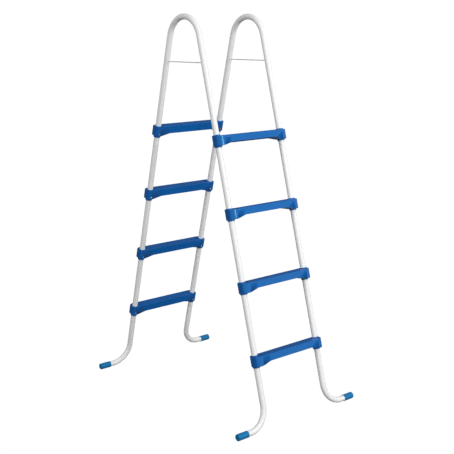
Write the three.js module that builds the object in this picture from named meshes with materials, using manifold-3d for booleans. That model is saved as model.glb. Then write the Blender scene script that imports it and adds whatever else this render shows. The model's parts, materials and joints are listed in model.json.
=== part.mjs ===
// Free-standing A-frame pool ladder: two bent handrail hoops, tubular legs with feet turned out
// sideways, and eight moulded treads, four on each side of the pool wall.
// Units are millimetres. +X runs along the treads, +Y runs over the wall from the entry side to the
// pool side, and +Z is up. The origin is on the ground, in the middle of the four feet.

import * as THREE from 'three';
import { mergeVertices } from 'three/addons/utils/BufferGeometryUtils.js';
import Module from 'manifold-3d';

const wasm = await Module();
wasm.setup();

// ---------------------------------------------------------------- driving dimensions

const CLEARANCE = 0.3;              // gap between pieces that touch
const OVERSHOOT = 2;                // how far a cutting tool runs past the face it cuts

// frame
const RAIL_SPACING = 354;           // between the tube centre lines of the two hoops, along X
const LEG_LEAN = Math.atan(0.263);  // each leg leans this far from upright
const RISE = 300;                   // height from one tread to the next
const TREADS_PER_SIDE = 4;
const TREAD_LIFT = { front: 6, back: 14 };  // tread tops stand this far above a whole number of rises
const TOP_HALF_SPREAD = 211;        // leg centre line to the middle plane, at the top tread
const BEND_RADIUS = 106;            // centre line of the round top of a hoop

// tube
const TUBE_RADIUS = 12.7;
const TUBE_WALL = 1.2;
const TUBE_SIDES = 16;
const SPIGOT_LENGTH = 28;           // swaged end that slides into the tube below
const HOOP_BEND_STEPS = 12;
const FOOT_BEND_RADIUS = 90;
const FOOT_BEND_STEPS = 6;
const FOOT_REACH = 162;             // leg line to the outer end of a foot cap
const JOINTED_TREADS = [2, 4];      // tube lengths meet inside the sleeves of these treads

// treads
const TREAD = {
  topTilt: THREE.MathUtils.degToRad(8),  // the top slopes down towards the middle by this much
  innerDepth: 17,                   // tube axis to the inner face
  outerDepth: 32.5,                 // tube axis to the outer face
  height: 32,                       // top, at the tube axis, to the bottom edge of the board
  skin: 3,                          // walls and top of the moulding
  sleeveRadius: 16,
  sleeveLength: 51,
  collarRise: 2.5,                  // sleeve stands above the top
  endReach: 16.5,                   // tube axis to the flat end
  innerCorner: 8,                   // rounding of the end on its inner side
  noseStart: 13,                    // the end is flat out to here, then curves in to the outer face
  noseBulge: 25.5,                  // control point of that curve
  noseInset: 2.5,                   // tube axis to where the curve meets the outer face
  haunchDrop: 13.5,                 // ends hang below the board
  outerFlat: 19,                    // tube axis to the start of the outer slope
  innerFlat: 12,                    // tube axis to the start of the inner slope
  slopeEnd: 58,                     // tube axis to where the slope meets the board
  ribCount: 4,
  ribSpacing: 52,
  ribThickness: 2.4,
  ribDepth: 24,
};

// screws that hold the treads to the tubes
const SCREW = {
  drop: 37,                         // below the tread top, along the leg
  headRadius: 3.8,
  headHeight: 2,
  shankRadius: 2,
  shankLength: 12,
  tipLength: 2,
  recessRadius: 4.8,
  recessDepth: 2.2,
  headTaper: 0.8,                   // top of the head, as a share of its base
  sides: 8,
};

// feet
const CAP = {
  length: 55,
  wall: 1.6,
  endWall: 4,
  endRounding: 3,
  soleDrop: 14,                     // tube axis to the flat sole
  grooves: 2,
  grooveWidth: 2.4,
  grooveDepth: 0.6,
  groovePitch: 9,
  sides: 16,
};

// spreader rods across the hoops
const ROD_RADIUS = 2;
const ROD_HEIGHT = 1502;
const ROD_SIDES = 8;
const ROD_INSERT = 3;               // how far a rod end reaches past the inner face of the tube wall

// ---------------------------------------------------------------- derived values

const HALF_SPACING = RAIL_SPACING / 2;
const TUBE_BORE = TUBE_RADIUS - TUBE_WALL;
const SPIGOT_RADIUS = TUBE_BORE - CLEARANCE;
const SPIGOT_BORE = SPIGOT_RADIUS - TUBE_WALL;
const HOLE_RADIUS = SCREW.shankRadius + CLEARANCE;
const SLEEVE_BORE = TUBE_RADIUS + CLEARANCE;
const HALF_TURN = Math.PI;
const FULL_TURN = 2 * Math.PI;
const CAP_RADIUS = TUBE_RADIUS + CLEARANCE + CAP.wall;
// the flats of the bore clear the corners of the tube, however the two are turned
const CAP_BORE = (TUBE_RADIUS + CLEARANCE) / Math.cos(HALF_TURN / TUBE_SIDES);

const halfSpread = (z) => TOP_HALF_SPREAD + Math.tan(LEG_LEAN) * (TREADS_PER_SIDE * RISE - z);
const FOOT_HALF_SPREAD = halfSpread(CAP.soleDrop);
const alongLeg = (z) => (z - CAP.soleDrop) / Math.cos(LEG_LEAN);
const treadTop = (side, row) => alongLeg(row * RISE + TREAD_LIFT[side]);
const jointLevel = (side, row) => treadTop(side, row) - TREAD.sleeveLength / 2;

// ---------------------------------------------------------------- materials

const MATERIALS = {
  tube: { color: 0xeceeee, roughness: 0.28, metalness: 0 },
  rod: { color: 0xd4d7d9, roughness: 0.35, metalness: 0 },
  tread: { color: 0x1565ae, roughness: 0.42, metalness: 0 },
  cap: { color: 0x1a6fa2, roughness: 0.5, metalness: 0 },
  screw: { color: 0xc9ccd0, roughness: 0.25, metalness: 1 },
};

// ---------------------------------------------------------------- solids

function solid(geometry) {
  const bare = geometry.clone();
  bare.deleteAttribute('normal');
  bare.deleteAttribute('uv');
  const merged = mergeVertices(bare, 1e-4);
  const vertProperties = Float32Array.from(merged.attributes.position.array);
  const triVerts = Uint32Array.from(merged.index.array);
  return new wasm.Manifold(new wasm.Mesh({ numProp: 3, vertProperties, triVerts }));
}

function geometryOf(body) {
  const { vertProperties, triVerts } = body.getMesh();
  const geometry = new THREE.BufferGeometry();
  geometry.setAttribute('position', new THREE.BufferAttribute(vertProperties, 3));
  geometry.setIndex(new THREE.BufferAttribute(triVerts, 1));
  geometry.computeVertexNormals();
  return geometry;
}

const join = (first, ...rest) => rest.reduce((sum, body) => sum.add(body), first);
const cut = (body, ...tools) => tools.reduce((left, tool) => left.subtract(tool), body);

function box([x0, y0, z0], [x1, y1, z1]) {
  const geometry = new THREE.BoxGeometry(x1 - x0, y1 - y0, z1 - z0);
  return solid(geometry.translate((x0 + x1) / 2, (y0 + y1) / 2, (z0 + z1) / 2));
}

// round bar along +Z from z0 to z1
function bar(radius, z0, z1, sides = TUBE_SIDES) {
  const geometry = new THREE.CylinderGeometry(radius, radius, z1 - z0, sides);
  return solid(geometry.rotateX(HALF_TURN / 2).translate(0, 0, (z0 + z1) / 2));
}

// round bar along +Y from y0 to y1
function crossBar(radius, y0, y1, sides = TUBE_SIDES) {
  const geometry = new THREE.CylinderGeometry(radius, radius, y1 - y0, sides);
  return solid(geometry.translate(0, (y0 + y1) / 2, 0));
}

// turned piece about +Z, from [radius, z] points that start and end on the axis
function turned(profile, sides) {
  const points = profile.map(([radius, z]) => new THREE.Vector2(radius, z));
  return solid(new THREE.LatheGeometry(points, sides).rotateX(HALF_TURN / 2));
}

// A path through chosen stations, each with its own place and direction, so that straight runs
// take one step and bends take as many as they need.
class StationPath extends THREE.Curve {
  constructor(stations) {
    super();
    this.stations = stations;
  }

  station(t) {
    return this.stations[Math.round(t * (this.stations.length - 1))];
  }

  getPoint(t, target = new THREE.Vector3()) {
    return target.copy(this.station(t).place);
  }

  getPointAt(t, target) {
    return this.getPoint(t, target);
  }

  getTangent(t, target = new THREE.Vector3()) {
    return target.copy(this.station(t).direction);
  }

  getTangentAt(t, target) {
    return this.getTangent(t, target);
  }
}

// An arc in the plane of two unit vectors: it leaves centre + radius * from, turning towards to.
function arcStations(centre, from, to, radius, startAngle, endAngle, steps) {
  return Array.from({ length: steps + 1 }, (_, i) => {
    const angle = startAngle + ((endAngle - startAngle) * i) / steps;
    const outward = from.clone().multiplyScalar(Math.cos(angle)).addScaledVector(to, Math.sin(angle));
    const direction = from.clone().multiplyScalar(-Math.sin(angle))
      .addScaledVector(to, Math.cos(angle));
    return { place: centre.clone().addScaledVector(outward, radius), direction };
  });
}

function roundSection(radius, sides = TUBE_SIDES) {
  const points = Array.from({ length: sides }, (_, i) => {
    const angle = (FULL_TURN * i) / sides;
    return new THREE.Vector2(radius * Math.cos(angle), radius * Math.sin(angle));
  });
  return new THREE.Shape(points);
}

function swept(stations, radius) {
  const path = new StationPath(stations);
  const options = { steps: stations.length - 1, extrudePath: path, bevelEnabled: false };
  return solid(new THREE.ExtrudeGeometry(roundSection(radius), options));
}

// ---------------------------------------------------------------- tubes

const UP = new THREE.Vector3(0, 0, 1);

// straight tube along +Z with a swaged spigot below z0
function straightTube(z0, z1) {
  const outside = join(
    bar(TUBE_RADIUS, z0, z1),
    bar(SPIGOT_RADIUS, z0 - SPIGOT_LENGTH, z0 + TUBE_WALL),
  );
  return cut(
    outside,
    bar(TUBE_BORE, z0 + TUBE_WALL, z1 + OVERSHOOT),
    bar(SPIGOT_BORE, z0 - SPIGOT_LENGTH - OVERSHOOT, z0 + 2 * TUBE_WALL),
  );
}

// hole for a tread screw, from the inner face to the tube's axis
function screwHole(top) {
  return crossBar(HOLE_RADIUS, -TUBE_RADIUS - OVERSHOOT, 0, SCREW.sides)
    .translate(0, 0, top - SCREW.drop);
}

// lower leg: up the leg line from the bend, and sideways along the ground to the foot
function lowerLeg(outwardX, top) {
  const sideways = new THREE.Vector3(outwardX, 0, 0);
  const centre = new THREE.Vector3(outwardX * FOOT_BEND_RADIUS, 0, FOOT_BEND_RADIUS);
  const end = FOOT_REACH - CAP.endWall - CLEARANCE;
  const bend = arcStations(centre, UP.clone().negate(), sideways.clone().negate(),
    FOOT_BEND_RADIUS, 0, HALF_TURN / 2, FOOT_BEND_STEPS);
  const stations = (extra) => [
    { place: sideways.clone().multiplyScalar(end + extra), direction: sideways.clone().negate() },
    ...bend,
    { place: new THREE.Vector3(0, 0, top + extra), direction: UP.clone() },
  ];
  return cut(swept(stations(0), TUBE_RADIUS), swept(stations(OVERSHOOT), TUBE_BORE));
}

// handrail hoop in the YZ plane, from the back top tread over to the front one
function hoop() {
  const sine = Math.sin(LEG_LEAN);
  const cosine = Math.cos(LEG_LEAN);
  const tangentHalf = BEND_RADIUS * cosine;
  const tangentZ = TREADS_PER_SIDE * RISE + (TOP_HALF_SPREAD - tangentHalf) / Math.tan(LEG_LEAN);
  const centre = new THREE.Vector3(0, 0, tangentZ - BEND_RADIUS * sine);
  const towardsBack = new THREE.Vector3(0, 1, 0);
  const bend = arcStations(centre, towardsBack, UP, BEND_RADIUS,
    LEG_LEAN, HALF_TURN - LEG_LEAN, HOOP_BEND_STEPS);
  const endOf = (side, extra) => {
    const level = jointLevel(side, TREADS_PER_SIDE) - extra;
    const sign = side === 'back' ? 1 : -1;
    const z = CAP.soleDrop + level * cosine;
    return { place: new THREE.Vector3(0, sign * halfSpread(z), z), upwards: [0, -sign * sine, cosine] };
  };
  const stations = (extra) => {
    const start = endOf('back', extra);
    const finish = endOf('front', extra);
    return [
      { place: start.place, direction: new THREE.Vector3(...start.upwards) },
      ...bend,
      { place: finish.place, direction: new THREE.Vector3(...finish.upwards).negate() },
    ];
  };
  const outside = join(
    swept(stations(0), TUBE_RADIUS),
    swept(stations(SPIGOT_LENGTH), SPIGOT_RADIUS),
  );
  const hollow = cut(
    outside,
    swept(stations(-TUBE_WALL), TUBE_BORE),
    swept(stations(SPIGOT_LENGTH + OVERSHOOT), SPIGOT_BORE),
  );
  const rodHole = crossBar(ROD_RADIUS + CLEARANCE, -halfSpread(ROD_HEIGHT), halfSpread(ROD_HEIGHT),
    ROD_SIDES).translate(0, 0, ROD_HEIGHT);
  const holes = ['front', 'back'].map((side) =>
    screwHole(treadTop(side, TREADS_PER_SIDE)).transform(legMatrix(side).toArray()));
  return cut(hollow, rodHole, ...holes);
}

// ---------------------------------------------------------------- treads

// A tread is built with the tube axes along Z, its top at z = 0 and its outer face towards +Y.

function elevation(flat) {
  const end = HALF_SPACING + TREAD.endReach + OVERSHOOT;
  const low = -TREAD.height - TREAD.haunchDrop;
  const high = TREAD.collarRise;
  const slopeEnd = HALF_SPACING - TREAD.slopeEnd;
  const points = [
    [-end, high], [-end, low], [-HALF_SPACING + flat, low], [-slopeEnd, -TREAD.height],
    [slopeEnd, -TREAD.height], [HALF_SPACING - flat, low], [end, low], [end, high],
  ];
  return new THREE.Shape(points.map(([x, z]) => new THREE.Vector2(x, z)));
}

// slab of the elevation between two depths
function elevationSlab(shape, y0, y1) {
  const geometry = new THREE.ExtrudeGeometry(shape, { depth: y1 - y0, bevelEnabled: false });
  return solid(geometry.rotateX(HALF_TURN / 2).translate(0, y1, 0));
}

// plan outline: flat ends with a rounded inner corner, curving in to the outer face
function planOutline() {
  const { innerDepth, outerDepth, innerCorner, noseStart, noseBulge } = TREAD;
  const end = HALF_SPACING + TREAD.endReach;
  const nose = HALF_SPACING - TREAD.noseInset;
  const shape = new THREE.Shape();
  shape.moveTo(-end + innerCorner, -innerDepth);
  shape.lineTo(end - innerCorner, -innerDepth);
  shape.absarc(end - innerCorner, innerCorner - innerDepth, innerCorner, -HALF_TURN / 2, 0, false);
  shape.lineTo(end, noseStart);
  shape.quadraticCurveTo(end, noseBulge, nose, outerDepth);
  shape.lineTo(-nose, outerDepth);
  shape.quadraticCurveTo(-end, noseBulge, -end, noseStart);
  shape.lineTo(-end, innerCorner - innerDepth);
  shape.absarc(-end + innerCorner, innerCorner - innerDepth, innerCorner, HALF_TURN,
    -HALF_TURN / 2, false);
  return shape;
}

// everything above the sloping top, or above a plane that far below it
function aboveTop(depth) {
  const half = HALF_SPACING + TREAD.endReach + OVERSHOOT;
  const reach = TREAD.innerDepth + TREAD.outerDepth;
  const tilt = THREE.MathUtils.radToDeg(LEG_LEAN - TREAD.topTilt);
  return box([-half, -reach, -depth], [half, reach, TREAD.sleeveLength]).rotate(-tilt, 0, 0);
}

function treadPocket() {
  const { innerDepth, outerDepth, height, skin, ribCount, ribSpacing, ribThickness, ribDepth } = TREAD;
  const halfLength = HALF_SPACING - TREAD.slopeEnd - ribThickness;
  const space = box([-halfLength, -innerDepth + skin, -height - OVERSHOOT],
    [halfLength, outerDepth - skin, 0]);
  const pocket = cut(space, aboveTop(skin));
  const cross = Array.from({ length: ribCount }, (_, i) => {
    const x = (i - (ribCount - 1) / 2) * ribSpacing;
    return box([x - ribThickness / 2, -innerDepth, -ribDepth], [x + ribThickness / 2, outerDepth, 0]);
  });
  return cut(pocket, ...cross);
}

function tread() {
  const { innerDepth, outerDepth, outerFlat, innerFlat, sleeveLength, collarRise } = TREAD;
  const plan = new THREE.ExtrudeGeometry(planOutline(),
    { depth: 2 * sleeveLength, bevelEnabled: false, curveSegments: 5 });
  const block = solid(plan.translate(0, 0, -sleeveLength));
  const sides = join(
    elevationSlab(elevation(outerFlat), 0, outerDepth + OVERSHOOT),
    elevationSlab(elevation(innerFlat), -innerDepth - OVERSHOOT, OVERSHOOT),
  );
  let body = cut(block.intersect(sides), aboveTop(0));
  for (const x of [-HALF_SPACING, HALF_SPACING]) {
    body = join(body, bar(TREAD.sleeveRadius, -sleeveLength, collarRise).translate(x, 0, 0));
  }
  body = cut(body, treadPocket());
  for (const x of [-HALF_SPACING, HALF_SPACING]) {
    const bore = bar(SLEEVE_BORE, -sleeveLength - OVERSHOOT, collarRise + OVERSHOOT);
    const hole = crossBar(HOLE_RADIUS, -innerDepth - OVERSHOOT, 0, SCREW.sides);
    const recess = crossBar(SCREW.recessRadius, -innerDepth - OVERSHOOT,
      -innerDepth + SCREW.recessDepth, SCREW.sides);
    body = cut(body, bore.translate(x, 0, 0), hole.translate(x, 0, -SCREW.drop),
      recess.translate(x, 0, -SCREW.drop));
  }
  return body;
}

// ---------------------------------------------------------------- small pieces

// pan-head screw: head at the floor of its recess, shank towards +Y
function screw() {
  const { headRadius, headHeight, shankRadius, shankLength, tipLength, sides } = SCREW;
  const seat = -TREAD.innerDepth + SCREW.recessDepth - CLEARANCE;
  const profile = [
    [0, -shankLength], [shankRadius, -shankLength + tipLength], [shankRadius, 0],
    [headRadius, 0], [headRadius * SCREW.headTaper, headHeight], [0, headHeight],
  ];
  return turned(profile, sides).rotate(90, 0, 0).translate(0, seat, 0);
}

// foot cap: closed sleeve along +X with a flat sole and grip grooves
function footCap() {
  const { length, endWall, endRounding, soleDrop, grooves, grooveWidth, grooveDepth, sides } = CAP;
  const profile = [[0, 0], [CAP_RADIUS, 0]];
  for (let i = 0; i < grooves; i += 1) {
    const start = CAP.groovePitch * (i + 1);
    profile.push([CAP_RADIUS, start], [CAP_RADIUS - grooveDepth, start],
      [CAP_RADIUS - grooveDepth, start + grooveWidth], [CAP_RADIUS, start + grooveWidth]);
  }
  profile.push([CAP_RADIUS, length - endRounding], [CAP_RADIUS - endRounding, length], [0, length]);
  const outside = turned(profile, sides);
  const bore = bar(CAP_BORE, -OVERSHOOT, length - endWall);
  const below = box([-CAP_RADIUS - OVERSHOOT, -CAP_RADIUS - OVERSHOOT, -OVERSHOOT],
    [CAP_RADIUS + OVERSHOOT, -soleDrop, length + OVERSHOOT]);
  return cut(outside, bore, below);
}

function spreaderRod() {
  const inside = halfSpread(ROD_HEIGHT) - TUBE_BORE / Math.cos(LEG_LEAN) + ROD_INSERT;
  return crossBar(ROD_RADIUS, -inside, inside, ROD_SIDES);
}

// ---------------------------------------------------------------- assembly

const ladder = new THREE.Group();

function mesh(name, body, finish) {
  const piece = new THREE.Mesh(geometryOf(body), new THREE.MeshStandardMaterial(MATERIALS[finish]));
  piece.name = name;
  return piece;
}

// frame of one side's legs: Z up the leg, Y square to it and away from the wall
function legMatrix(side) {
  const turn = side === 'back' ? 0 : HALF_TURN;
  const lean = new THREE.Matrix4().makeRotationX(LEG_LEAN);
  const place = new THREE.Matrix4().makeTranslation(0, FOOT_HALF_SPREAD, CAP.soleDrop);
  return new THREE.Matrix4().makeRotationZ(turn).multiply(place).multiply(lean);
}

function ladderSide(side) {
  const group = new THREE.Group();
  group.applyMatrix4(legMatrix(side));
  const worldSign = side === 'back' ? 1 : -1;
  const [lowJoint, highJoint] = JOINTED_TREADS.map((row) => jointLevel(side, row));
  const holesBelow = (body, x, rows) => cut(body,
    ...rows.map((row) => screwHole(treadTop(side, row)).translate(x, 0, 0)));

  for (let row = 1; row <= TREADS_PER_SIDE; row += 1) {
    const piece = mesh(`${side}_tread_${row}`, tread(), 'tread');
    piece.position.z = treadTop(side, row);
    group.add(piece);
  }
  for (const hand of ['left', 'right']) {
    const outwardX = (hand === 'left' ? -1 : 1) * worldSign;
    const x = outwardX * HALF_SPACING;
    const lower = lowerLeg(outwardX, lowJoint - CLEARANCE).translate(x, 0, 0);
    const upper = straightTube(lowJoint, highJoint - CLEARANCE).translate(x, 0, 0);
    group.add(mesh(`${side}_${hand}_lower_leg`, holesBelow(lower, x, [1, 2]), 'tube'));
    group.add(mesh(`${side}_${hand}_upper_leg`, holesBelow(upper, x, [2, 3, 4]), 'tube'));

    const cap = mesh(`${side}_${hand}_foot_cap`, footCap(), 'cap');
    cap.position.x = x + outwardX * (FOOT_REACH - CAP.length);
    cap.rotation.set(-LEG_LEAN, outwardX * (HALF_TURN / 2), outwardX * (HALF_TURN / 2));
    group.add(cap);

    for (let row = 1; row <= TREADS_PER_SIDE; row += 1) {
      const piece = mesh(`${side}_${hand}_screw_${row}`, screw(), 'screw');
      piece.position.set(x, 0, treadTop(side, row) - SCREW.drop);
      group.add(piece);
    }
  }
  return group;
}

for (const [hand, sign] of [['left', -1], ['right', 1]]) {
  const rail = mesh(`${hand}_handrail_hoop`, hoop(), 'tube');
  rail.position.x = sign * HALF_SPACING;
  ladder.add(rail);
  const rod = mesh(`${hand}_spreader_rod`, spreaderRod(), 'rod');
  rod.position.set(sign * HALF_SPACING, 0, ROD_HEIGHT);
  ladder.add(rod);
}
ladder.add(ladderSide('front'), ladderSide('back'));

export default ladder;
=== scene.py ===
"""Finished look of a free-standing A-frame pool ladder.

Sizes are in metres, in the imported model's own frame: X runs along the treads, Y runs over the pool
wall, and Z is up from the ground. Run it as a script: each button of the panel makes one kind of
piece, and main() presses them all.
"""

import json
import math

import bmesh
import bpy
from bpy.props import FloatProperty, FloatVectorProperty, IntProperty, PointerProperty
from bpy.types import Operator, Panel, PropertyGroup
from mathutils import Matrix, Vector

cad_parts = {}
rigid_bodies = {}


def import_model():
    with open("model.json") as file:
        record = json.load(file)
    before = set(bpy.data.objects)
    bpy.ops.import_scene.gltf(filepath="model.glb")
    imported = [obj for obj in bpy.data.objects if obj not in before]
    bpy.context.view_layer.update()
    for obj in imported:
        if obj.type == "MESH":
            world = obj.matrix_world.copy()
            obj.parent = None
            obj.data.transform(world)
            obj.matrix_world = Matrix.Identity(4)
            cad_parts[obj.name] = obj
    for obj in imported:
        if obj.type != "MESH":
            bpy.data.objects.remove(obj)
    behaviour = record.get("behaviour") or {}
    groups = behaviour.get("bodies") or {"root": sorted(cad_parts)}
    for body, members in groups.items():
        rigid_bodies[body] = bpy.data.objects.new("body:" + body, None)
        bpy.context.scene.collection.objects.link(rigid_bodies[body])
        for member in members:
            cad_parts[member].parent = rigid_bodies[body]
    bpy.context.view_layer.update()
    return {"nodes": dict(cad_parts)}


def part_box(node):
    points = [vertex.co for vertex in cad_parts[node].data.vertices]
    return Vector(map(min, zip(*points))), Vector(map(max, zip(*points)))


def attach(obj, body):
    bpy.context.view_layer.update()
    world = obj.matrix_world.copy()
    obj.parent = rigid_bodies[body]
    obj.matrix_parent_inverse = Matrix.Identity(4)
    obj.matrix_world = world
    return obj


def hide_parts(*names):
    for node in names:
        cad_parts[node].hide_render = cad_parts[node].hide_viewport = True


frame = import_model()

bl_info = {
    "name": "Pool ladder",
    "version": (1, 0, 0),
    "blender": (4, 5, 0),
    "location": "View3D > Sidebar > Ladder",
    "description": "Makes the tubes, treads, feet, screws and studio of a pool ladder",
    "category": "Object",
}

SIDES = ("front", "back")
HANDS = ("left", "right")
ROWS = (1, 2, 3, 4)
X, Y, Z = Vector((1, 0, 0)), Vector((0, 1, 0)), Vector((0, 0, 1))
SHARP = math.radians(32)  # an edge that turns further than this is shaded sharp
RIM = math.radians(15)  # an edge of a tread that turns further than this is rounded
WELD = 1e-6  # points closer than this are one point
FINE = 1e-7  # points this close to a cutting plane lie on it
PAST = 0.002  # how far a cutter runs past the surface that it cuts
ROUND = {"rod": 24, "screw": 32, "sleeve": 64, "cap": 72}  # faces round a turned piece
EDGE_STEPS = 4  # faces in the rounding of an edge
SENSOR_WIDTH = 36.0  # in millimetres


# ---------------------------------------------------------------- settings


def length(name, description, default):
    """A distance in metres."""
    return FloatProperty(name=name, description=description, default=default, min=0.0,
                         precision=5, subtype="DISTANCE", unit="LENGTH")


def colour(name, description, default):
    """A colour as linear red, green and blue."""
    return FloatVectorProperty(name=name, description=description, default=default, size=3,
                               min=0.0, max=1.0, subtype="COLOR")


def share(name, description, default):
    """A number from 0 to 1."""
    return FloatProperty(name=name, description=description, default=default, min=0.0, max=1.0,
                         subtype="FACTOR")


class LadderTubes(PropertyGroup):
    radius: length("Tube radius", "Outside radius of the frame tube", 0.0127)
    wall: length("Tube wall", "Thickness of the tube wall", 0.0012)
    spigot: length("Spigot length", "Swaged end that slides into the tube below", 0.028)
    clearance: length("Clearance", "Gap between pieces that touch", 0.0003)
    hoop_bend: length("Hoop bend", "Radius of the handrail's round top, at its centre line", 0.106)
    foot_bend: length("Foot bend", "Radius of the bend above a foot, at its centre line", 0.09)
    rod_radius: length("Rod radius", "Radius of a spreader rod", 0.002)
    segments: IntProperty(name="Segments", description="Faces round a tube", default=56, min=8)
    bend_steps: IntProperty(name="Bend steps", description="Rings in a quarter turn", default=32,
                            min=4)
    coat: colour("Powder coat", "Colour of the coated tube", (0.835, 0.845, 0.832))
    roughness: share("Roughness", "Roughness of the powder coat", 0.38)
    rod_coat: colour("Rod coat", "Colour of the spreader rods", (0.60, 0.62, 0.63))
    rod_roughness: share("Rod roughness", "Roughness of the rod coat", 0.34)


class LadderTreads(PropertyGroup):
    tilt: FloatProperty(name="Tilt", description="Slope of the top, down towards the middle",
                        default=math.radians(8), subtype="ANGLE", unit="ROTATION")
    inner_depth: length("Inner depth", "Tube axis to the inner face", 0.017)
    outer_depth: length("Outer depth", "Tube axis to the outer face", 0.0325)
    height: length("Height", "Top, at the tube axis, to the bottom edge of the board", 0.032)
    skin: length("Skin", "Wall thickness of the moulding", 0.003)
    end_reach: length("End reach", "Tube axis to the flat end of the tread", 0.0165)
    inner_corner: length("Inner corner", "Rounding of the end on its inner side", 0.008)
    nose_start: length("Nose start", "The end is flat out to here, then curves in", 0.013)
    nose_bulge: length("Nose bulge", "Control point of that curve", 0.0255)
    nose_inset: length("Nose inset", "Tube axis to where the curve meets the outer face", 0.0025)
    haunch_drop: length("Haunch drop", "How far the ends hang below the board", 0.0135)
    inner_flat: length("Inner flat", "Tube axis to the slope, on the inner face", 0.012)
    outer_flat: length("Outer flat", "Tube axis to the slope, on the outer face", 0.019)
    slope_end: length("Slope end", "Tube axis to where the slope meets the board", 0.058)
    edge: length("Edge rounding", "Rounding along the edges of the moulding", 0.0016)
    crease: length("Crease rounding", "Rounding between the outer face and the ends", 0.009)
    sleeve_radius: length("Sleeve radius", "Outside radius of the sleeve round a tube", 0.016)
    sleeve_length: length("Sleeve length", "Tread top to the lower end of a sleeve", 0.051)
    collar_rise: length("Collar rise", "How far the sleeve stands above the top", 0.0025)
    rib_pitch: length("Rib spacing", "Distance between the stiffening ribs", 0.052)
    rib_depth: length("Rib depth", "Tread top to the lower edge of a rib", 0.024)
    rib_thickness: length("Rib thickness", "Thickness of a stiffening rib", 0.0024)
    cell_rounding: length("Cell rounding", "Rounding inside the cells under the board", 0.0012)
    lead_in: length("Lead-in", "Widening at both ends of a sleeve's bore", 0.0006)
    grip_height: length("Grip height", "Height of the grip lines on the top", 0.0004)
    grip_width: length("Grip width", "Width of a grip line", 0.0022)
    grip_count: IntProperty(name="Grip lines", description="Grip lines along the top", default=5)
    rib_count: IntProperty(name="Ribs", description="Stiffening ribs under the board", default=4)
    nose_steps: IntProperty(name="Nose steps", description="Faces in the curve of an end",
                            default=16, min=2)
    plastic: colour("Tread plastic", "Colour of the treads", (0.0018, 0.104, 0.385))
    roughness: share("Roughness", "Roughness of the moulded surface", 0.17)


class LadderScrews(PropertyGroup):
    drop: length("Drop", "Tread top to the screw, along the leg", 0.037)
    head_radius: length("Head radius", "Radius of the pan head", 0.0038)
    head_height: length("Head height", "Height of the pan head", 0.002)
    shank_radius: length("Shank radius", "Radius of the shank", 0.002)
    shank_length: length("Shank length", "Length of the shank", 0.012)
    recess_radius: length("Recess radius", "Radius of the recess in the tread", 0.0048)
    recess_depth: length("Recess depth", "Depth of the recess in the tread", 0.0022)
    recess_lip: length("Recess lip", "Widening at the mouth of the recess", 0.0004)
    steel: colour("Steel", "Colour of the screws", (0.72, 0.73, 0.74))
    roughness: share("Roughness", "Roughness of the screws", 0.26)


class LadderFeet(PropertyGroup):
    cap_length: length("Cap length", "Length of a foot cap", 0.055)
    cap_wall: length("Cap wall", "Wall of a foot cap", 0.0016)
    end_wall: length("End wall", "Thickness of a cap's closed end", 0.004)
    end_rounding: length("End rounding", "Rounding of the closed end", 0.003)
    sole_drop: length("Sole drop", "Tube axis to the flat sole", 0.014)
    groove_pitch: length("Groove spacing", "Distance between the grip grooves", 0.009)
    groove_width: length("Groove width", "Width of a grip groove", 0.0024)
    groove_depth: length("Groove depth", "Depth of a grip groove", 0.0006)
    groove_count: IntProperty(name="Grooves", description="Grip grooves round a cap", default=2)
    plastic: colour("Cap plastic", "Colour of the foot caps", (0.001, 0.16, 0.4))
    roughness: share("Roughness", "Roughness of the foot caps", 0.26)


class LadderStage(PropertyGroup):
    floor_size: length("Floor size", "Length of each side of the floor", 24.0)
    camera_place: FloatVectorProperty(name="Camera", description="Where the camera stands",
                                      default=(-2.525, -3.121, 1.642), size=3,
                                      subtype="TRANSLATION", unit="LENGTH")
    heading: FloatProperty(name="Heading", description="Turn of the camera to the right of +Y",
                           default=math.radians(39.5), subtype="ANGLE", unit="ROTATION")
    tilt: FloatProperty(name="Tilt", description="How far the camera looks down",
                        default=math.radians(12.44), subtype="ANGLE", unit="ROTATION")
    roll: FloatProperty(name="Roll", description="Turn of the camera about its own line of sight",
                        default=math.radians(-0.48), subtype="ANGLE", unit="ROTATION")
    lens: FloatProperty(name="Lens", description="Focal length on a 36 mm sensor", default=71.5,
                        subtype="DISTANCE_CAMERA")
    floor_colour: colour("Floor", "Colour of the floor", (0.18, 0.18, 0.18))
    backdrop: FloatProperty(name="Backdrop", description="Brightness of the backdrop as seen",
                            default=1.02, min=0.0)
    fill: FloatProperty(name="Fill", description="Brightness of the room at eye height",
                        default=1.5, min=0.0)
    overhead: share("Overhead", "Brightness overhead, as a share of the fill", 0.62)
    dark_side: share("Dark side", "Brightness opposite the bright side, as a share", 0.05)
    bright_side: FloatVectorProperty(name="Bright side", description="Brighter side of the room",
                                     default=(-0.35, -0.94, 0.0), size=3, subtype="DIRECTION")
    key_place: FloatVectorProperty(name="Key place", description="Where the soft box stands",
                                   default=(0.85, -3.3, 2.15), size=3, subtype="TRANSLATION",
                                   unit="LENGTH")
    key_aim: FloatVectorProperty(name="Key aim", description="Point the soft box faces",
                                 default=(0.0, -0.35, 0.9), size=3, subtype="TRANSLATION",
                                 unit="LENGTH")
    key_size: FloatVectorProperty(name="Key size", description="Width and height of the soft box",
                                  default=(0.85, 1.1), size=2, subtype="TRANSLATION",
                                  unit="LENGTH")
    key_power: FloatProperty(name="Key power", description="Power of the soft box",
                             default=44.0, min=0.0, subtype="POWER", unit="POWER")


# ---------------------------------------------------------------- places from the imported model


def settings():
    return bpy.context.scene.pool_ladder


def middle(node):
    low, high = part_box(node)
    return (Vector(low) + Vector(high)) / 2


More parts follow.
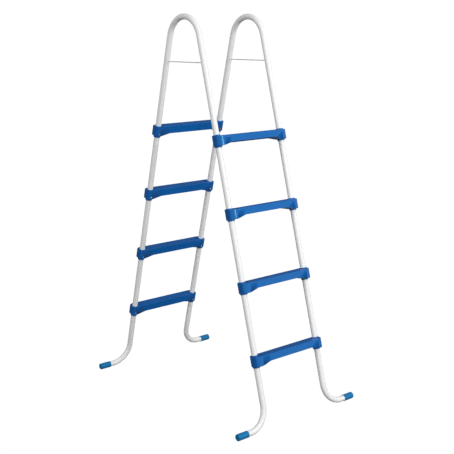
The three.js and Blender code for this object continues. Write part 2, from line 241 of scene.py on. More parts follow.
def leg_frame(side):
    """Matrix of one side's legs: Z up the leg, Y square to it and away from the wall."""
    up = (middle(f"{side}_left_screw_4") - middle(f"{side}_left_screw_1")).normalized()
    outward = 1 if side == "back" else -1
    across = Vector((0, outward * up.z, -outward * up.y))
    origin = Vector((0, middle(f"{side}_left_foot_cap").y, settings().feet.sole_drop))
    turn = Matrix((across.cross(up), across, up)).transposed()
    return Matrix.Translation(origin) @ turn.to_4x4()


def leg_lean():
    """Angle of the legs from upright."""
    up = leg_frame("back").col[2]
    return math.atan2(-up.y, up.z)


def reach(node, matrix):
    """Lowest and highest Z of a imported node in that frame."""
    inverse = matrix.inverted()
    heights = [(inverse @ vertex.co).z for vertex in frame["nodes"][node].data.vertices]
    return min(heights), max(heights)


def tread_top(side, row):
    """Height of a tread's top up the leg."""
    return reach(f"{side}_tread_{row}", leg_frame(side))[1] - settings().treads.collar_rise


def hand_x(side, hand):
    """Tube axis in the frame of one side's legs, where the front is turned round."""
    return (leg_frame(side).inverted() @ middle(f"{hand}_handrail_hoop")).x


# ---------------------------------------------------------------- making pieces


def soften(bm):
    """Smooth faces, with sharp edges where the surface turns quickly."""
    for face in bm.faces:
        face.smooth = True
    for edge in bm.edges:
        edge.smooth = edge.is_manifold and edge.calc_face_angle(0) < SHARP


def finished(name, bm, material, place=None):
    """Makes the bmesh one object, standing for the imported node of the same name."""
    if place is not None:
        bm.transform(place)
    soften(bm)
    mesh = bpy.data.meshes.new(f"{name}_made")
    bm.to_mesh(mesh)
    bm.free()
    mesh.materials.append(material)
    piece = bpy.data.objects.new(f"{name}_made", mesh)
    bpy.context.scene.collection.objects.link(piece)
    normals = piece.modifiers.new("Face normals", "WEIGHTED_NORMAL")
    normals.keep_sharp = True
    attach(piece, "root")
    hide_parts(name)
    return piece


def spun(profile, segments, axis=Z):
    """Closed turned solid, from (radius, height) points that start and end on its axis."""
    bm = bmesh.new()
    points = [bm.verts.new((radius, 0, z)) for radius, z in profile]
    edges = [bm.edges.new(pair) for pair in zip(points, points[1:])]
    bmesh.ops.spin(bm, geom=points + edges, cent=(0, 0, 0), axis=(0, 0, 1), dvec=(0, 0, 0),
                   angle=math.tau, steps=segments, use_merge=True)
    bmesh.ops.remove_doubles(bm, verts=bm.verts, dist=WELD)
    bmesh.ops.recalc_face_normals(bm, faces=bm.faces)
    if axis is not Z:
        bm.transform(Z.rotation_difference(axis).to_matrix().to_4x4())
    return bm


def arc(centre, radius, start, end, steps):
    """Points of a round stretch of a profile, from one angle to another, in degrees."""
    angles = [math.radians(start + (end - start) * i / steps) for i in range(steps + 1)]
    return [(centre[0] + radius * math.cos(a), centre[1] + radius * math.sin(a)) for a in angles]


def merge_into(target, source, place=None):
    """Adds one bmesh to another."""
    if place is not None:
        source.transform(place)
    mesh = bpy.data.meshes.new("joined")
    source.to_mesh(mesh)
    source.free()
    target.from_mesh(mesh)
    bpy.data.meshes.remove(mesh)


def block(low, high, rounding=0.0):
    """Box between two corners, with its edges rounded if a rounding is given."""
    low, high = Vector(low), Vector(high)
    bm = bmesh.new()
    place = Matrix.Translation((low + high) / 2) @ Matrix.Diagonal((*(high - low), 1))
    bmesh.ops.create_cube(bm, size=1, matrix=place)
    if rounding:
        bmesh.ops.bevel(bm, geom=bm.edges[:], offset=rounding, affect="EDGES", segments=2,
                        profile=0.5, material=-1)
    return bm


def combine(bm, steps):
    """Joins and cuts a bmesh with others, in order, and returns the result."""
    scratch = bpy.context.scene.collection.objects

    def holder(source):
        mesh = bpy.data.meshes.new("holder")
        source.to_mesh(mesh)
        source.free()
        piece = bpy.data.objects.new("holder", mesh)
        scratch.link(piece)
        return piece

    body = holder(bm)
    tools = []
    for operation, source in steps:
        tool = holder(source)
        tools.append(tool)
        modifier = body.modifiers.new(operation, "BOOLEAN")
        modifier.operation = operation
        modifier.solver = "EXACT"
        modifier.object = tool
    graph = bpy.context.evaluated_depsgraph_get()
    result = bmesh.new()
    result.from_mesh(bpy.data.meshes.new_from_object(body.evaluated_get(graph)))
    for piece in (body, *tools):
        mesh = piece.data
        bpy.data.objects.remove(piece)
        bpy.data.meshes.remove(mesh)
    bmesh.ops.remove_doubles(result, verts=result.verts, dist=WELD)
    bmesh.ops.dissolve_degenerate(result, edges=result.edges, dist=WELD)
    return result


# ---------------------------------------------------------------- tubes


class TubeRun:
    """A tube drawn out ring by ring, from a start point and a direction."""

    def __init__(self, start, direction, radius):
        tubes = settings().tubes
        self.bm = bmesh.new()
        self.centre, self.direction, self.radius = start.copy(), direction.normalized(), radius
        facing = Z.rotation_difference(self.direction).to_matrix().to_4x4()
        ring = bmesh.ops.create_circle(self.bm, radius=radius, segments=tubes.segments,
                                       matrix=Matrix.Translation(start) @ facing)
        self.edges = list({edge for vert in ring["verts"] for edge in vert.link_edges})

    def drawn(self):
        """Draws out the last ring and returns the new ring's points."""
        result = bmesh.ops.extrude_edge_only(self.bm, edges=self.edges)["geom"]
        points = {item for item in result if isinstance(item, bmesh.types.BMVert)}
        self.edges = [item for item in result if isinstance(item, bmesh.types.BMEdge)
                      and points.issuperset(item.verts)]
        return list(points)

    def straight(self, distance):
        """Draws the tube straight on."""
        offset = self.direction * distance
        bmesh.ops.translate(self.bm, verts=self.drawn(), vec=offset)
        self.centre += offset
        return self

    def neck(self, radius, distance):
        """Narrows or widens the tube over a short distance."""
        points = self.drawn()
        offset = self.direction * distance
        bmesh.ops.scale(self.bm, verts=points, vec=(radius / self.radius,) * 3,
                        space=Matrix.Translation(-self.centre))
        bmesh.ops.translate(self.bm, verts=points, vec=offset)
        self.centre += offset
        self.radius = radius
        return self

    def turn(self, towards, radius, angle):
        """Bends the tube towards a direction."""
        hub = self.centre + towards * radius
        axis = self.direction.cross(towards)
        steps = max(1, round(settings().tubes.bend_steps * angle / (math.pi / 2)))
        points = list({vert for edge in self.edges for vert in edge.verts})
        result = bmesh.ops.spin(self.bm, geom=points + self.edges, cent=hub, axis=axis,
                                dvec=(0, 0, 0), angle=angle, steps=steps, use_merge=False)
        self.edges = [item for item in result["geom_last"] if isinstance(item, bmesh.types.BMEdge)]
        rotation = Matrix.Rotation(angle, 3, axis)
        self.centre = hub + rotation @ (self.centre - hub)
        self.direction = rotation @ self.direction
        return self

    def walled(self):
        """Gives the drawn surface its wall thickness, inwards, and returns the bmesh."""
        bmesh.ops.remove_doubles(self.bm, verts=self.bm.verts, dist=FINE)
        bmesh.ops.recalc_face_normals(self.bm, faces=self.bm.faces)
        bmesh.ops.solidify(self.bm, geom=self.bm.faces[:], thickness=settings().tubes.wall)
        return self.bm


def spigot_radius():
    """Outside radius of a swaged end."""
    tubes = settings().tubes
    return tubes.radius - tubes.wall - tubes.clearance


class LADDER_OT_handrails(Operator):
    """Make the two handrail hoops"""

    bl_idname = "ladder.make_handrails"
    bl_label = "Handrail hoops"

    def execute(self, context):
        tubes = settings().tubes
        for hand in HANDS:
            name = f"{hand}_handrail_hoop"
            back, front = leg_frame("back"), leg_frame("front")
            up = back.col[2].to_3d()
            x = middle(name).x
            end = reach(name, back)[0]
            start = back @ Vector((hand_x("back", hand), 0, end))
            lean = leg_lean()
            hub_z = start.z + (start.y - tubes.hoop_bend / math.cos(lean)) / math.tan(lean)
            tangent = Vector((x, tubes.hoop_bend * math.cos(lean),
                              hub_z + tubes.hoop_bend * math.sin(lean)))
            far_end = front @ Vector((hand_x("front", hand), 0, reach(name, front)[0]))
            far_tangent = Vector((x, -tangent.y, tangent.z))
            inwards = Vector((0, -math.cos(lean), -math.sin(lean)))
            shoulder = tubes.wall
            run = TubeRun(start, up, spigot_radius())
            run.straight(tubes.spigot - shoulder).neck(tubes.radius, shoulder)
            run.straight((tangent - run.centre).length)
            run.turn(inwards, tubes.hoop_bend, math.pi - 2 * lean)
            run.straight((far_end - far_tangent).length - tubes.spigot)
            run.neck(spigot_radius(), shoulder).straight(tubes.spigot - shoulder)
            finished(name, run.walled(), powder_coat())
        return {"FINISHED"}


class LADDER_OT_legs(Operator):
    """Make the upper legs and the lower legs with their feet turned out"""

    bl_idname = "ladder.make_legs"
    bl_label = "Legs"

    def execute(self, context):
        tubes = settings().tubes
        for side in SIDES:
            matrix = leg_frame(side)
            for hand in HANDS:
                x = hand_x(side, hand)
                sideways = X * math.copysign(1, x)
                name = f"{side}_{hand}_upper_leg"
                low, high = reach(name, matrix)
                run = TubeRun(Vector((x, 0, low)), Z, spigot_radius())
                run.straight(tubes.spigot - tubes.wall).neck(tubes.radius, tubes.wall)
                run.straight(high - low - tubes.spigot)
                finished(name, run.walled(), powder_coat(), matrix)

                name = f"{side}_{hand}_lower_leg"
                top = reach(name, matrix)[1]
                low_x, high_x = (corner[0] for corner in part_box(name))
                foot_reach = max(abs(low_x), abs(high_x)) - abs(x)
                run = TubeRun(Vector((x, 0, top)), -Z, tubes.radius)
                run.straight(top - tubes.foot_bend).turn(sideways, tubes.foot_bend, math.pi / 2)
                run.straight(foot_reach - tubes.foot_bend)
                finished(name, run.walled(), powder_coat(), matrix)
        return {"FINISHED"}


class LADDER_OT_rods(Operator):
    """Make the spreader rods across the hoops"""

    bl_idname = "ladder.make_rods"
    bl_label = "Spreader rods"

    def execute(self, context):
        radius = settings().tubes.rod_radius
        for hand in HANDS:
            name = f"{hand}_spreader_rod"
            low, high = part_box(name)
            half = (high[1] - low[1]) / 2
            chamfer = radius / 4
            profile = [(0, -half), (radius - chamfer, -half), (radius, -half + chamfer),
                       (radius, half - chamfer), (radius - chamfer, half), (0, half)]
            bm = spun(profile, ROUND["rod"], Y)
            finished(name, bm, rod_coat(), Matrix.Translation(middle(name)))
        return {"FINISHED"}


# ---------------------------------------------------------------- treads


def top_slope():
    """Turns a level that is square to the legs into the slope of a tread's top."""
    return Matrix.Rotation(settings().treads.tilt - leg_lean(), 4, "X")


def top_frame(depth=0.0):
    """Point and normal of the sloping top, or of a plane that far below it."""
    normal = top_slope().to_3x3() @ Z
    return normal * -depth, normal


def slice_off(bm, point, normal):
    """Cuts a solid with a plane, drops the side the normal points to and closes the cut."""
    bmesh.ops.bisect_plane(bm, geom=bm.verts[:] + bm.edges[:] + bm.faces[:], plane_co=point,
                           plane_no=normal, dist=FINE, clear_outer=True)
    bmesh.ops.holes_fill(bm, edges=[edge for edge in bm.edges if edge.is_boundary], sides=0)


def curve(start, control, finish, steps):
    """Points from start to finish that set out towards the control point and arrive from it."""
    shares = [i / steps for i in range(steps + 1)]
    return [start.lerp(control, u).lerp(control.lerp(finish, u), u) for u in shares]


def plan_outline(half_spacing):
    """Outline of a tread from above: flat ends that curve in to a rounded crease."""
    t = settings().treads
    end, nose = half_spacing + t.end_reach, Vector((half_spacing - t.nose_inset, t.outer_depth))
    centre = (end - t.inner_corner, t.inner_corner - t.inner_depth)
    corner = arc(centre, t.inner_corner, -90, 0, steps=10)
    nose_curve = [point for point in curve(Vector((end, t.nose_start)),
                                           Vector((end, t.nose_bulge)), nose, t.nose_steps)
                  if (point - nose).length > t.crease]
    crease = curve(nose_curve[-1], nose, nose - Vector((t.crease, 0)), t.nose_steps // 2)
    right = [*corner, *map(tuple, nose_curve), *map(tuple, crease[1:])]
    return right + [(-x, y) for x, y in reversed(right)]


def tread_block(half_spacing):
    """Board and end blocks, as one solid with rounded edges."""
    t = settings().treads
    low, high = -t.height - t.haunch_drop, t.sleeve_length
    bm = bmesh.new()
    plan = bm.faces.new([bm.verts.new((x, y, low)) for x, y in plan_outline(half_spacing)])
    raised = bmesh.ops.extrude_face_region(bm, geom=[plan])["geom"]
    bmesh.ops.translate(bm, vec=(0, 0, high - low),
                        verts=[item for item in raised if isinstance(item, bmesh.types.BMVert)])
    bmesh.ops.recalc_face_normals(bm, faces=bm.faces)
    slice_off(bm, *top_frame())

    board = half_spacing - t.slope_end
    for sign in (-1, 1):
        inner = Vector((sign * (half_spacing - t.inner_flat), -t.inner_depth, 0))
        outer = Vector((sign * (half_spacing - t.outer_flat), t.outer_depth, 0))
        oblique = (outer - inner).cross(Z).normalized()
        for place, normal in ((Vector((sign * board, 0, 0)), X), (inner, oblique)):
            bmesh.ops.bisect_plane(bm, geom=bm.verts[:] + bm.edges[:] + bm.faces[:],
                                   plane_co=place, plane_no=normal, dist=FINE)
    for vert in bm.verts:
        if vert.co.z < low + t.haunch_drop / 2 and abs(vert.co.x) < board + WELD:
            vert.co.z = -t.height
    rims = [edge for edge in bm.edges if edge.calc_face_angle(0) > RIM
            and (edge.verts[0].co.xy - edge.verts[1].co.xy).length > WELD]
    bmesh.ops.bevel(bm, geom=rims, offset=t.edge, affect="EDGES", segments=EDGE_STEPS, profile=0.5,
                    material=-1)
    return bm


def turned_pair(profile, segments, half_spacing, axis=Z, y=0.0, z=0.0):
    """The same turned solid at both ends of a tread."""
    bm = bmesh.new()
    for sign in (-1, 1):
        place = Matrix.Translation((sign * half_spacing, y, z))
        merge_into(bm, spun(profile, segments, axis), place)
    return bm


def sleeves(half_spacing):
    """The two sleeves that the tubes pass through, as solid posts."""
    t = settings().treads
    radius, low, high, edge = t.sleeve_radius, -t.sleeve_length, t.collar_rise, t.edge / 2
    profile = [(0, low), *arc((radius - edge, low + edge), edge, -90, 0, EDGE_STEPS),
               *arc((radius - edge, high - edge), edge, 0, 90, EDGE_STEPS), (0, high)]
    return turned_pair(profile, ROUND["sleeve"], half_spacing)


def sleeve_bores(half_spacing):
    """The round bores, each with a small lead-in at both ends."""
    t = settings().treads
    tubes = settings().tubes
    radius, lead = tubes.radius + tubes.clearance, t.lead_in
    low, high = -t.sleeve_length, t.collar_rise
    profile = [(0, low - PAST), (radius + lead + PAST, low - PAST), (radius, low + lead),
               (radius, high - lead), (radius + lead + PAST, high + PAST), (0, high + PAST)]
    return turned_pair(profile, ROUND["sleeve"], half_spacing)


def screw_recesses(half_spacing):
    """The recess and the hole for each screw, from the inner face."""
    t = settings().treads
    screws = settings().screws
    radius, seat, lip = screws.recess_radius, screws.recess_depth, screws.recess_lip
    hole = screws.shank_radius + settings().tubes.clearance
    profile = [(0, -PAST), (radius + lip + PAST, -PAST), (radius, lip), (radius, seat),
               (hole, seat), (hole, t.inner_depth), (0, t.inner_depth)]
    return turned_pair(profile, ROUND["screw"], half_spacing, Y, -t.inner_depth, -screws.drop)


def underside_cells(half_spacing):
    """The hollow cells under the board, between its ribs."""
    t = settings().treads
    half = half_spacing - t.slope_end - t.rib_thickness
    walls = [-half]
    for i in range(t.rib_count):
        x = (i - (t.rib_count - 1) / 2) * t.rib_pitch
        walls += [x - t.rib_thickness / 2, x + t.rib_thickness / 2]
    walls.append(half)
    front, back = -t.inner_depth + t.skin, t.outer_depth - t.skin
    bm = bmesh.new()
    for x0, x1 in zip(walls[::2], walls[1::2]):
        cell = block((x0, front, -2 * t.height), (x1, back, t.height))
        slice_off(cell, *top_frame(t.skin))
        bmesh.ops.bevel(cell, geom=cell.edges[:], offset=t.cell_rounding, affect="EDGES",
                        segments=2, profile=0.5, material=-1)
        merge_into(bm, cell)
    shared = block((-half, front, -2 * t.height), (half, back, -t.rib_depth))
    return combine(bm, [("UNION", shared)])


def grip_lines(half_spacing):
    """Low rounded lines along the tread top."""
    t = settings().treads
    half = half_spacing - t.slope_end / 2
    margin = 2 * t.skin
    pitch = (t.inner_depth + t.outer_depth - 2 * margin) / (t.grip_count - 1)
    rounding = t.grip_height * 0.8
    bm = bmesh.new()
    for i in range(t.grip_count):
        y = -t.inner_depth + margin + i * pitch
        merge_into(bm, block((-half, y - t.grip_width / 2, -t.skin / 2),
                             (half, y + t.grip_width / 2, t.grip_height), rounding))
    bm.transform(top_slope())
    return bm


class LADDER_OT_treads(Operator):
    """Make the eight moulded treads"""

    bl_idname = "ladder.make_treads"
    bl_label = "Treads"

    def execute(self, context):
        half_spacing = abs(hand_x("back", "left"))
        master = combine(tread_block(half_spacing), [
            ("UNION", sleeves(half_spacing)),
            ("UNION", grip_lines(half_spacing)),
            ("DIFFERENCE", underside_cells(half_spacing)),
            ("DIFFERENCE", sleeve_bores(half_spacing)),
            ("DIFFERENCE", screw_recesses(half_spacing)),
        ])
        for side in SIDES:
            for row in ROWS:
                name = f"{side}_tread_{row}"
                place = leg_frame(side) @ Matrix.Translation((0, 0, tread_top(side, row)))
                finished(name, master.copy(), tread_plastic(), place)
        master.free()
        return {"FINISHED"}


# ---------------------------------------------------------------- screws and feet


class LADDER_OT_screws(Operator):
    """Make the pan-head screws that hold the treads"""

    bl_idname = "ladder.make_screws"
    bl_label = "Screws"

    def execute(self, context):
        s = settings().screws
        treads = settings().treads
        seat = -treads.inner_depth + s.recess_depth - settings().tubes.clearance
        dome = s.head_height / 2
        rim = arc((s.head_radius - dome, -s.head_height + dome), dome, -90, 0, steps=5)
        profile = [(0, -s.head_height), *rim, (s.head_radius, 0), (s.shank_radius, 0),
                   (s.shank_radius, s.shank_length - s.shank_radius), (0, s.shank_length)]
        slot_length, slot_width, slot_depth = s.head_radius * 1.1, s.head_radius * 0.24, dome
        slots = []
        for across, along in ((slot_length, slot_width), (slot_width, slot_length)):
            slots.append(("DIFFERENCE", block(
                (-across / 2, -2 * s.head_height, -along / 2),
                (across / 2, -s.head_height + slot_depth, along / 2))))
        master = combine(spun(profile, ROUND["screw"], Y), slots)
        for side in SIDES:
            for hand in HANDS:
                for row in ROWS:
                    height = tread_top(side, row) - s.drop
                    place = Matrix.Translation((hand_x(side, hand), seat, height))
                    finished(f"{side}_{hand}_screw_{row}", master.copy(), screw_steel(),
                             leg_frame(side) @ place)
        master.free()
        return {"FINISHED"}


class LADDER_OT_foot_caps(Operator):
    """Make the foot caps, with a flat sole and grip grooves"""

    bl_idname = "ladder.make_foot_caps"
    bl_label = "Foot caps"

    def execute(self, context):
        f = settings().feet
        tubes = settings().tubes
        bore = tubes.radius + tubes.clearance
        radius = bore + f.cap_wall
        lip, rounding = f.cap_wall / 2, f.end_rounding
        outside = [(bore, 0), *arc((radius - lip, lip), lip, -90, 0, EDGE_STEPS)]
        for i in range(f.groove_count):
            start = (i + 1) * f.groove_pitch
            floor = radius - f.groove_depth
            outside += [(radius, start), (floor, start + f.groove_depth),
                        (floor, start + f.groove_width - f.groove_depth),
                        (radius, start + f.groove_width)]
        centre = (radius - rounding, f.cap_length - rounding)
        closed_end = arc(centre, rounding, 0, 80, steps=7)
        profile = [(0, f.cap_length - f.end_wall), (bore, f.cap_length - f.end_wall),
                   *outside, *closed_end, (0, f.cap_length)]
        for side in SIDES:
            for hand in HANDS:
                name = f"{side}_{hand}_foot_cap"
                low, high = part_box(name)
                sign = -1 if hand == "left" else 1
                start_x = high[0] if sign < 0 else low[0]
                bm = spun(profile, ROUND["cap"], X * sign)
                slice_off(bm, (0, 0, -f.sole_drop), -Z)
                place = Matrix.Translation((start_x, middle(name).y, f.sole_drop))
                finished(name, bm, cap_plastic(), place)
        return {"FINISHED"}


# ---------------------------------------------------------------- finishes


def link(tree, source, target):
    tree.links.new(source, target)


def surface_grain_group():
    """Fine surface grain: a bumped normal, a roughness and a slow tone."""
    name = "Surface grain"
    if name in bpy.data.node_groups:
        return bpy.data.node_groups[name]
    group = bpy.data.node_groups.new(name, "ShaderNodeTree")
    sockets = group.interface
    for title, default in (("Grain size", 0.001), ("Grain height", 0.00005), ("Roughness", 0.4),
                           ("Roughness spread", 0.08), ("Cloud size", 0.08)):
        made = sockets.new_socket(title, in_out="INPUT", socket_type="NodeSocketFloat")
        made.default_value = default
    for title, kind in (("Normal", "NodeSocketVector"), ("Roughness", "NodeSocketFloat"),
                        ("Cloud", "NodeSocketFloat")):
        sockets.new_socket(title, in_out="OUTPUT", socket_type=kind)
    nodes = group.nodes
    inputs = nodes.new("NodeGroupInput")
    outputs = nodes.new("NodeGroupOutput")
    place = nodes.new("ShaderNodeTexCoord")

    def noise(size, detail):
        scale = nodes.new("ShaderNodeMath")
        scale.operation = "DIVIDE"
        scale.inputs[0].default_value = 1.0
        link(group, size, scale.inputs[1])
        texture = nodes.new("ShaderNodeTexNoise")
        texture.inputs["Detail"].default_value = detail
        link(group, place.outputs["Object"], texture.inputs["Vector"])
        link(group, scale.outputs[0], texture.inputs["Scale"])
        return texture.outputs["Fac"]

    grain = noise(inputs.outputs["Grain size"], detail=3.0)
    cloud = noise(inputs.outputs["Cloud size"], detail=4.0)
    bump = nodes.new("ShaderNodeBump")
    link(group, grain, bump.inputs["Height"])
    link(group, inputs.outputs["Grain height"], bump.inputs["Distance"])
    spread = nodes.new("ShaderNodeMath")
    spread.operation = "MULTIPLY_ADD"
    centred = nodes.new("ShaderNodeMath")
    centred.operation = "SUBTRACT"
    noise_middle = 0.5
    centred.inputs[1].default_value = noise_middle
    link(group, cloud, centred.inputs[0])
    link(group, centred.outputs[0], spread.inputs[0])
    link(group, inputs.outputs["Roughness spread"], spread.inputs[1])
    link(group, inputs.outputs["Roughness"], spread.inputs[2])
    link(group, bump.outputs["Normal"], outputs.inputs["Normal"])
    link(group, spread.outputs[0], outputs.inputs["Roughness"])
    link(group, cloud, outputs.inputs["Cloud"])
    return group


def painted_edge_highlight_group():
    """Mask of raised edges, broken up by a noise: 1 where a painted highlight pales the surface."""
    name = "Edge wear"
    if name in bpy.data.node_groups:
        return bpy.data.node_groups[name]
    group = bpy.data.node_groups.new(name, "ShaderNodeTree")
    sockets = group.interface
    amount = sockets.new_socket("Amount", in_out="INPUT", socket_type="NodeSocketFloat")
    amount.default_value = 0.5
    sockets.new_socket("Mask", in_out="OUTPUT", socket_type="NodeSocketFloat")
    nodes = group.nodes
    inputs = nodes.new("NodeGroupInput")
    outputs = nodes.new("NodeGroupOutput")
    shape = nodes.new("ShaderNodeNewGeometry")
    place = nodes.new("ShaderNodeTexCoord")
    raised = nodes.new("ShaderNodeMapRange")
    # The raised edges picked here get a painted highlight, paler than the rest of the surface
    nearly_flat, raised_edge = 0.51, 0.62
    raised.inputs["From Min"].default_value = nearly_flat
    raised.inputs["From Max"].default_value = raised_edge
    link(group, shape.outputs["Pointiness"], raised.inputs["Value"])
    texture = nodes.new("ShaderNodeTexNoise")
    patches_per_metre, detail = 90.0, 5.0
    texture.inputs["Scale"].default_value = patches_per_metre
    texture.inputs["Detail"].default_value = detail
    link(group, place.outputs["Object"], texture.inputs["Vector"])
    broken = nodes.new("ShaderNodeMath")
    broken.operation = "MULTIPLY"
    link(group, raised.outputs["Result"], broken.inputs[0])
    link(group, texture.outputs["Fac"], broken.inputs[1])
    scaled = nodes.new("ShaderNodeMath")
    scaled.operation = "MULTIPLY"
    scaled.use_clamp = True
    link(group, broken.outputs[0], scaled.inputs[0])
    link(group, inputs.outputs["Amount"], scaled.inputs[1])
    link(group, scaled.outputs[0], outputs.inputs["Mask"])
    return group


def new_finish(name):
    """A new material with its Principled shader and a surface grain node joined to it."""
    material = bpy.data.materials.new(name)
    material.use_nodes = True
    tree = material.node_tree
    shader = tree.nodes["Principled BSDF"]
    grain = tree.nodes.new("ShaderNodeGroup")
    grain.node_tree = surface_grain_group()
    link(tree, grain.outputs["Normal"], shader.inputs["Normal"])
    link(tree, grain.outputs["Roughness"], shader.inputs["Roughness"])
    return material, tree, shader, grain


def set_grain(grain, size, height, roughness, spread, cloud):
    for title, value in (("Grain size", size), ("Grain height", height), ("Roughness", roughness),
                         ("Roughness spread", spread), ("Cloud size", cloud)):
        grain.inputs[title].default_value = value


def blend(tree, mask, first, second):
    """A colour that goes from first to second as the mask goes from 0 to 1."""
    mix = tree.nodes.new("ShaderNodeMix")
    mix.data_type = "RGBA"
    sockets = {socket.identifier: socket for socket in mix.inputs}
    link(tree, mask, sockets["Factor_Float"])
    for socket, value in ((sockets["A_Color"], first), (sockets["B_Color"], second)):
        if hasattr(value, "links"):
            link(tree, value, socket)
        else:
            socket.default_value = (*value, 1.0)
    return {socket.identifier: socket for socket in mix.outputs}["Result_Color"]


def tinted(base, factor):
    """A darker or paler tint of a colour."""
    return tuple(min(1.0, channel * factor) for channel in base)


def clouded(tree, grain, base, darker, paler=1.0):
    """A colour that drifts slowly between a darker and a paler tint of itself."""
    return blend(tree, grain.outputs["Cloud"], tinted(base, darker), tinted(base, paler))


def powder_coat():
    """Glossy white powder coat with a faint orange peel."""
    name = "White powder coat"
    if name in bpy.data.materials:
        return bpy.data.materials[name]
    tubes = settings().tubes
    material, tree, shader, grain = new_finish(name)
    set_grain(grain, size=0.002, height=0.000008, roughness=tubes.roughness, spread=0.12,
              cloud=0.05)
    base = clouded(tree, grain, tubes.coat, darker=0.98, paler=1.02)
    link(tree, base, shader.inputs["Base Color"])
    shader.inputs["Coat Weight"].default_value = 0.1
    shader.inputs["Coat Roughness"].default_value = 0.22
    shader.inputs["IOR"].default_value = 1.5
    return material


def rod_coat():
    """Pale grey coat of the spreader rods."""
    name = "Grey rod coat"
    if name in bpy.data.materials:
        return bpy.data.materials[name]
    tubes = settings().tubes
    material, tree, shader, grain = new_finish(name)
    set_grain(grain, size=0.001, height=0.00003, roughness=tubes.rod_roughness, spread=0.1,
              cloud=0.02)
    base = clouded(tree, grain, tubes.rod_coat, darker=0.92, paler=1.06)
    link(tree, base, shader.inputs["Base Color"])
    return material


def moulded_plastic(name, base_colour, roughness, grain_size, grain_height, edge_highlight_amount):
    """Satin moulded plastic with a fine texture, slow colour clouds and paler edges painted as a
    highlight.
    """
    material, tree, shader, grain = new_finish(name)
    set_grain(grain, grain_size, grain_height, roughness, spread=0.1, cloud=0.06)
    edge_highlight = tree.nodes.new("ShaderNodeGroup")
    edge_highlight.node_tree = painted_edge_highlight_group()
    edge_highlight.inputs["Amount"].default_value = edge_highlight_amount
    body = clouded(tree, grain, base_colour, darker=0.9, paler=1.1)
    # Painted highlight: raised edges are blended towards a pale grey
    paleness, pale_grey = 0.25, 0.6
    pale = tuple(channel + paleness * (pale_grey - channel) for channel in base_colour)
    link(tree, blend(tree, edge_highlight.outputs["Mask"], body, pale), shader.inputs["Base Color"])
    shader.inputs["IOR"].default_value = 1.49
    shader.inputs["Specular IOR Level"].default_value = 0.4
    shader.inputs["Specular Tint"].default_value = (0.3, 0.8, 1.0, 1.0)
    return material


def tread_plastic():
    """Smooth blue plastic of the treads."""
    name = "Blue tread plastic"
    treads = settings().treads
    return bpy.data.materials.get(name) or moulded_plastic(
        name, treads.plastic, treads.roughness, grain_size=0.0012, grain_height=0.000006,
        edge_highlight_amount=0.5)


def cap_plastic():
    """Paler and rougher blue plastic of the foot caps."""
    name = "Blue cap plastic"
    feet = settings().feet
    return bpy.data.materials.get(name) or moulded_plastic(
        name, feet.plastic, feet.roughness, grain_size=0.0012, grain_height=0.00001,
        edge_highlight_amount=0.6)


def screw_steel():
    """Bright steel with fine scratches."""
    name = "Screw steel"
    if name in bpy.data.materials:
        return bpy.data.materials[name]
    screws = settings().screws
    material, tree, shader, grain = new_finish(name)
    set_grain(grain, size=0.0004, height=0.00001, roughness=screws.roughness, spread=0.2,
              cloud=0.004)
    base = clouded(tree, grain, screws.steel, darker=0.85)
    link(tree, base, shader.inputs["Base Color"])
    shader.inputs["Metallic"].default_value = 1.0
    return material


# ---------------------------------------------------------------- stage


def area_light(name, place, aim, size, power):
    """Soft box that faces a point."""
    data = bpy.data.lights.new(name, "AREA")
    data.shape = "RECTANGLE"
    data.size, data.size_y = size
    data.energy = power
    lamp = bpy.data.objects.new(name, data)
    lamp.location = place
    lamp.rotation_euler = (Vector(aim) - Vector(place)).to_track_quat("-Z", "Y").to_euler()
    bpy.context.scene.collection.objects.link(lamp)


def seen_through(tree, lighting, seen, output):
    """Shows one shader to the camera and lights the scene with the other."""
    path = tree.nodes.new("ShaderNodeLightPath")
    mix = tree.nodes.new("ShaderNodeMixShader")
    link(tree, path.outputs["Is Camera Ray"], mix.inputs[0])
    link(tree, lighting, mix.inputs[1])
    link(tree, seen, mix.inputs[2])
    link(tree, mix.outputs[0], output.inputs["Surface"])


def room_shade(tree):
    """Grey of the room round the ladder, brightest on one side and darker overhead."""
    stage = settings().stage
    place = tree.nodes.new("ShaderNodeTexCoord")
    facing = tree.nodes.new("ShaderNodeVectorMath")
    facing.operation = "DOT_PRODUCT"
    facing.inputs[1].default_value = stage.bright_side
    link(tree, place.outputs["Generated"], facing.inputs[0])
    split = tree.nodes.new("ShaderNodeSeparateXYZ")
    link(tree, place.outputs["Generated"], split.inputs[0])
    from_the_dark_side = (-0.9, 0.6, stage.dark_side, 1.0)
    from_eye_height = (0.1, 0.7, stage.fill, stage.fill * stage.overhead)
    shades = []
    for value, limits in ((facing.outputs["Value"], from_the_dark_side),
                          (split.outputs["Z"], from_eye_height)):
        fade = tree.nodes.new("ShaderNodeMapRange")
        link(tree, value, fade.inputs["Value"])
        for title, limit in zip(("From Min", "From Max", "To Min", "To Max"), limits):
            fade.inputs[title].default_value = limit
        shades.append(fade.outputs["Result"])
    product = tree.nodes.new("ShaderNodeMath")
    product.operation = "MULTIPLY"
    for shade, socket in zip(shades, product.inputs):
        link(tree, shade, socket)
    return product.outputs[0]


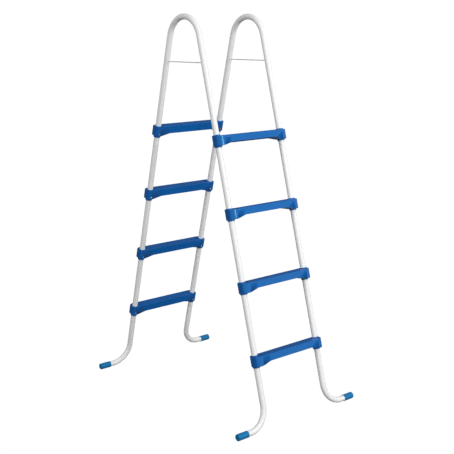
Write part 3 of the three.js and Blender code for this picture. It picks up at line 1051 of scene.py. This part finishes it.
class LADDER_OT_stage(Operator):
    """Make the floor, the lights and the camera"""

    bl_idname = "ladder.make_stage"
    bl_label = "Floor, lights and camera"

    def execute(self, context):
        stage = settings().stage
        scene = context.scene

        bm = bmesh.new()
        bmesh.ops.create_grid(bm, x_segments=1, y_segments=1, size=stage.floor_size / 2)
        mesh = bpy.data.meshes.new("studio_floor")
        bm.to_mesh(mesh)
        bm.free()
        material, tree, shader, grain = new_finish("Studio floor")
        set_grain(grain, size=0.02, height=0.0, roughness=0.8, spread=0.05, cloud=0.6)
        base = clouded(tree, grain, stage.floor_colour, darker=0.97)
        link(tree, base, shader.inputs["Base Color"])
        shader.inputs["Specular IOR Level"].default_value = 0.1
        glow = tree.nodes.new("ShaderNodeEmission")
        glow.inputs["Strength"].default_value = stage.backdrop
        seen_through(tree, shader.outputs[0], glow.outputs[0], tree.nodes["Material Output"])
        mesh.materials.append(material)
        floor = bpy.data.objects.new("studio_floor", mesh)
        scene.collection.objects.link(floor)

        world = bpy.data.worlds.new("Studio")
        scene.world = world
        world.use_nodes = True
        tree = world.node_tree
        background = tree.nodes["Background"]
        link(tree, room_shade(tree), background.inputs["Color"])
        seen = tree.nodes.new("ShaderNodeBackground")
        seen.inputs["Color"].default_value = (1, 1, 1, 1)
        seen.inputs["Strength"].default_value = stage.backdrop
        seen_through(tree, background.outputs[0], seen.outputs[0], tree.nodes["World Output"])

        area_light("Key", stage.key_place, stage.key_aim, stage.key_size, stage.key_power)

        data = bpy.data.cameras.new("Camera")
        data.sensor_width = SENSOR_WIDTH
        data.lens = stage.lens
        data.clip_end = 100
        camera = bpy.data.objects.new("Camera", data)
        right_angle = math.pi / 2
        turn = (Matrix.Rotation(-stage.heading, 4, "Z")
                @ Matrix.Rotation(right_angle - stage.tilt, 4, "X")
                @ Matrix.Rotation(stage.roll, 4, "Z"))
        camera.matrix_world = Matrix.Translation(stage.camera_place) @ turn
        scene.collection.objects.link(camera)
        scene.camera = camera
        scene.view_settings.view_transform = "Standard"
        return {"FINISHED"}


# ---------------------------------------------------------------- add-on


class PoolLadder(PropertyGroup):
    tubes: PointerProperty(type=LadderTubes, name="Tubes", description="The tube frame")
    treads: PointerProperty(type=LadderTreads, name="Treads", description="The moulded treads")
    screws: PointerProperty(type=LadderScrews, name="Screws", description="The tread screws")
    feet: PointerProperty(type=LadderFeet, name="Feet", description="The foot caps")
    stage: PointerProperty(type=LadderStage, name="Stage", description="Floor, lights and camera")


MAKERS = (LADDER_OT_stage, LADDER_OT_handrails, LADDER_OT_legs, LADDER_OT_rods, LADDER_OT_treads,
          LADDER_OT_screws, LADDER_OT_foot_caps)


class LADDER_PT_panel(Panel):
    """One button for each kind of piece"""

    bl_idname = "LADDER_PT_panel"
    bl_label = "Pool ladder"
    bl_space_type = "VIEW_3D"
    bl_region_type = "UI"
    bl_category = "Ladder"

    def draw(self, context):
        for maker in MAKERS:
            self.layout.operator(maker.bl_idname)


CLASSES = (LadderTubes, LadderTreads, LadderScrews, LadderFeet, LadderStage, PoolLadder, *MAKERS,
           LADDER_PT_panel)


def register():
    for cls in CLASSES:
        bpy.utils.register_class(cls)
    bpy.types.Scene.pool_ladder = PointerProperty(type=PoolLadder)


def unregister():
    del bpy.types.Scene.pool_ladder
    for cls in reversed(CLASSES):
        bpy.utils.unregister_class(cls)


def main():
    register()
    bpy.ops.ladder.make_stage()
    bpy.ops.ladder.make_handrails()
    bpy.ops.ladder.make_legs()
    bpy.ops.ladder.make_rods()
    bpy.ops.ladder.make_treads()
    bpy.ops.ladder.make_screws()
    bpy.ops.ladder.make_foot_caps()


if __name__ == "__main__":
    main()
